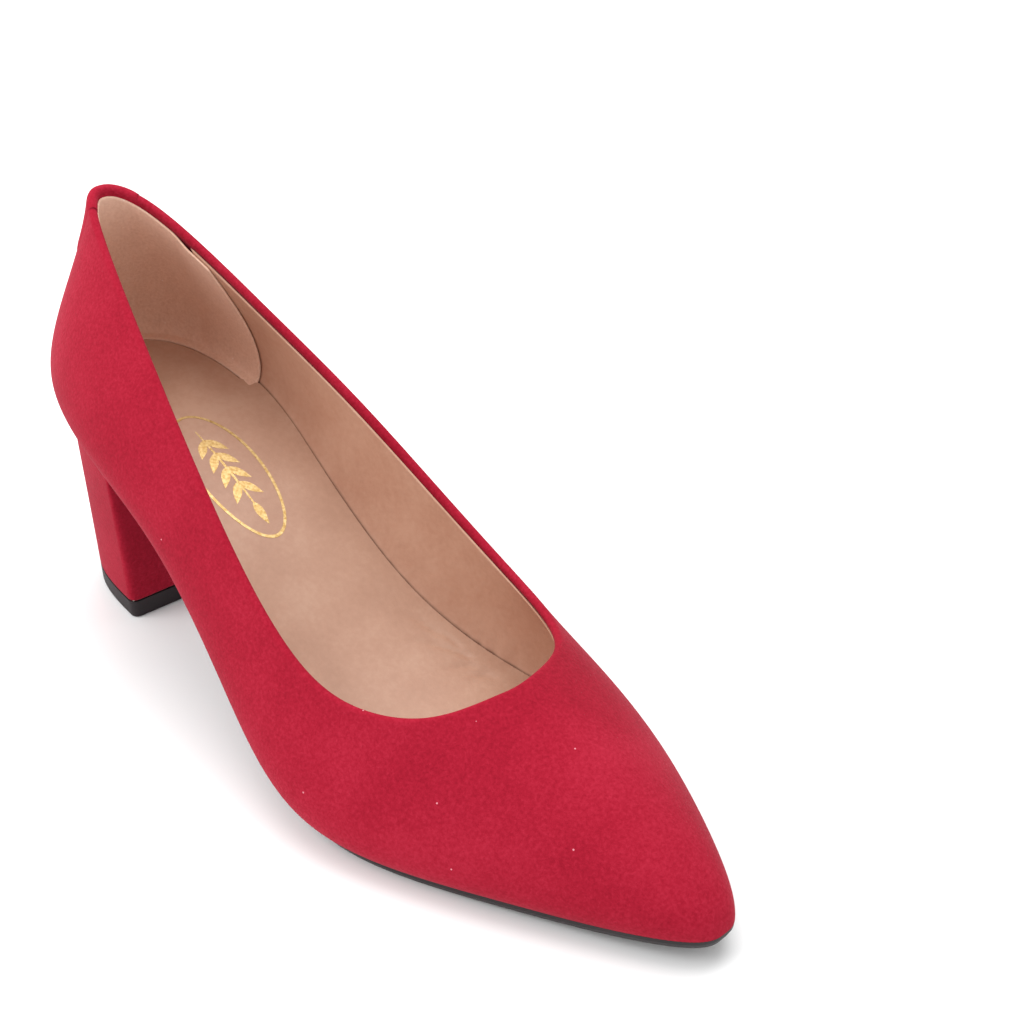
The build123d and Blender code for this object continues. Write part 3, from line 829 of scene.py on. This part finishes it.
# ---------------------------------------------------------------------------------------
# Heel: a moulded block with the upper's suede stretched over it, square across the front
# and rounded behind, standing on a black rubber top piece.
# ---------------------------------------------------------------------------------------
BREAST_X = 45.0
HEEL_DEPTH = 39.5
HEEL_HALF = 26.0
HEEL_SQUARENESS = 3.2
HEEL_TURN = math.radians(4)
HEEL_FLARE = 1.6
SEAT_Z = 66.0
SEAT_MIDDLE, SEAT_OVERRUN = 22.0, 4
TOP_PIECE = 6.0
CORNER = 2.4
HEEL_GIRTH = 165
MIDDLE_BACK = 18
COVER_TUCK = 0.8
ARC_SHARE = 0.68
ARC_SPACING = 1.6


def heel_ring(around, z, skin):
    """Plan outline of the heel at heights z: an arc round the back and a straight front."""
    weight = (z / SEAT_Z) ** HEEL_FLARE
    share = np.clip(around / ARC_SHARE, 0, 1) * 2 - 1
    far, near = np.abs(share) ** ARC_SPACING, (1 - np.abs(share)) ** ARC_SPACING
    step = np.sign(share) * far / (far + near)
    across_front = np.clip((around - ARC_SHARE) / (1 - ARC_SHARE), 0, 1)

    def arc(at):
        angle = at * math.pi / 2
        back = HEEL_DEPTH * np.abs(np.cos(angle)) ** (2 / HEEL_SQUARENESS)
        side = HEEL_HALF * np.sign(at) * np.abs(np.sin(angle)) ** (2 / HEEL_SQUARENESS)
        x = BREAST_X - back * math.cos(HEEL_TURN) + side * math.sin(HEEL_TURN)
        y = back * math.sin(HEEL_TURN) + side * math.cos(HEEL_TURN)
        ground = np.stack([x, y], -1)
        seat = on_spline(FEATHER, BACK - 2 * at)[0]
        return ground * (1 - weight[:, None]) + seat * weight[:, None]

    front = arc(np.ones_like(step)) * (1 - across_front[:, None])
    front = front + arc(-np.ones_like(step)) * across_front[:, None]
    points = np.where((around > ARC_SHARE)[:, None], front, arc(step))
    middle = (arc(np.ones_like(step)) + arc(-np.ones_like(step))) / 2 - [MIDDLE_BACK, 0]
    return points + unit(middle - points) * skin[:, None]


def rounded_ring(around, z, skin):
    """The same outline with its front corners rounded off."""
    spread = np.linspace(-CORNER, CORNER, 9) / HEEL_GIRTH
    rings = [heel_ring((around + shift) % 1, z, skin) for shift in spread]
    return sum(rings) / len(rings)


def place_cover(across, along):
    seat = level(np.full_like(along, SEAT_MIDDLE), -0.3)
    z = TOP_PIECE + 0.1 + along * (seat + SEAT_OVERRUN - TOP_PIECE)
    tuck = COVER_TUCK * (1 - np.clip(along / 0.015, 0, 1)) ** 2
    flat = rounded_ring(across, z, tuck)
    z = np.minimum(z, level(flat[:, 0], 0.4))
    return np.concatenate([flat, z[:, None]], -1)


cover = formed("suede_heel_cover", 260, 90, place_cover, red_suede, capped=True)
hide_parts("heel_cover")


# ---------------------------------------------------------------------------------------
# Inside the heel: a block of ABS with hollows moulded in it, held by one screw and four
# nails driven down from the seat, and two steel pins moulded into the top piece.
# ---------------------------------------------------------------------------------------
# Moulded ABS is off-white and smooth; drawn wire is bright grey, with fine lines along it.
moulded_abs = stock("moulded_abs", "#D8D2C6", "#CBC4B6", 1.0, 0.03, Roughness=0.45)
drawn_wire = stock(
    "drawn_steel_wire", "#A9ABAF", "#8B8D92", 0.2, 0.02, UPRIGHT, Metallic=1.0, Roughness=0.35
)
refinish(moulded_abs, "heel_block")
refinish(drawn_wire, "heel_screw", "heel_nails", "top_piece_pins")

# ---------------------------------------------------------------------------------------
# Top piece: the wearing end of the heel, 6 mm of moulded black rubber held by two pins,
# trimmed flush with the suede and rounded off at the ground.
# ---------------------------------------------------------------------------------------
def make_rubber(name, colour, dust_and_shade, roughness, grit_mm):
    """Black shoe rubber: dull, faintly stippled by the mould, a little dusty in patches."""
    material, shader = new_material(name, Roughness=roughness, Specular_IOR_Level=0.35)
    place = add_node(material, "ShaderNodeTexCoord").outputs["Object"]
    stipple = add_node(
        material, "ShaderNodeTexNoise", [("Vector", place)], Scale=500 / grit_mm, Detail=3.0
    )
    dust = add_node(material, "ShaderNodeTexNoise", [("Vector", place)], Scale=60.0, Detail=5.0)
    tones = add_node(material, "ShaderNodeValToRGB", [("Fac", dust.outputs["Fac"])])
    tones.color_ramp.elements[0].position = 0.35
    tones.color_ramp.elements[0].color = hex_colour(colour)
    tones.color_ramp.elements[1].position = 0.75
    tones.color_ramp.elements[1].color = hex_colour(dust_and_shade)
    bump = add_node(
        material, "ShaderNodeBump", [("Height", stipple.outputs["Fac"])],
        Strength=0.25, Distance=0.0001,
    )
    material.node_tree.links.new(tones.outputs["Color"], shader.inputs["Base Color"])
    material.node_tree.links.new(bump.outputs["Normal"], shader.inputs["Normal"])
    return material


# Moulded heel rubber: near black, dull, and a little grey where dust clings to it.
black_rubber = make_rubber("black_heel_rubber", "#1E1719", "#2B2326", 0.6, 0.4)


TREAD_RADIUS = 0.9
TREAD_SHARE, SIDE_SHARE = 0.2, 0.95
TOP_TUCK = 0.3


def place_top_piece(across, along):
    angle = np.clip(along / TREAD_SHARE, 0, 1) * math.pi / 2
    rise = np.clip((along - TREAD_SHARE) / (SIDE_SHARE - TREAD_SHARE), 0, 1)
    closing = np.clip((along - SIDE_SHARE) / (1 - SIDE_SHARE), 0, 1)
    skin = TREAD_RADIUS * (1 - np.sin(angle)) + TOP_TUCK * closing
    z = TREAD_RADIUS * (1 - np.cos(angle)) + rise * (TOP_PIECE - TREAD_RADIUS)
    flat = rounded_ring(across, z, skin)
    return np.concatenate([flat, z[:, None]], -1)


top_piece = formed("rubber_top_piece", 200, 30, place_top_piece, black_rubber, capped=True)
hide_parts("top_piece")

# ---------------------------------------------------------------------------------------
# Outsole: black resin sheet, nearly 4 mm at the ball and 2.4 mm through the waist, glued on
# below the turned-under suede and trimmed so that only a thin dark edge shows.
# ---------------------------------------------------------------------------------------
SOLE, SOLE_WAIST = 3.8, 2.4
WAIST_X, BALL_X = 95, 145
SOLE_PROUD = -0.1
SOLE_BEVEL = 2.6
SOLE_GLUE = 0.15
SOLE_END = 6.985

# Resin sole sheet: near black like the rubber, but a little smoother where it was trimmed.
sole_resin = make_rubber("black_sole_resin", "#1C1517", "#2C2426", 0.5, 0.5)


def sole_edge(u, proud):
    """Trimmed edge of the sole, this far outside the feather line."""
    flat = on_spline(FEATHER, u)[0] - inward_of(u) * proud[:, None]
    return np.concatenate([flat, np.zeros((len(u), 1))], -1)


def place_sole(across, along):
    u = along * SOLE_END
    side, inset, low = rounded_plate(across, 0.0, 1.0, 1.0)
    proud = SOLE_PROUD - np.minimum(inset, 1) * SOLE_BEVEL
    outer = sole_edge((STATIONS - u) % STATIONS, proud)
    points = across_foot(outer, sole_edge(u, proud), side, 0 * inset)
    t = np.clip((points[:, 0] - WAIST_X) / (BALL_X - WAIST_X), 0, 1)
    thickness = SOLE_WAIST + (SOLE - SOLE_WAIST) * t * t * (3 - 2 * t)
    points[:, 2] = np.maximum(level(points[:, 0], -SOLE_GLUE - low * (thickness - SOLE_GLUE)), 0)
    return points


sole = formed("resin_outsole", 160, 260, place_sole, sole_resin, capped=True)
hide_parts("outsole")
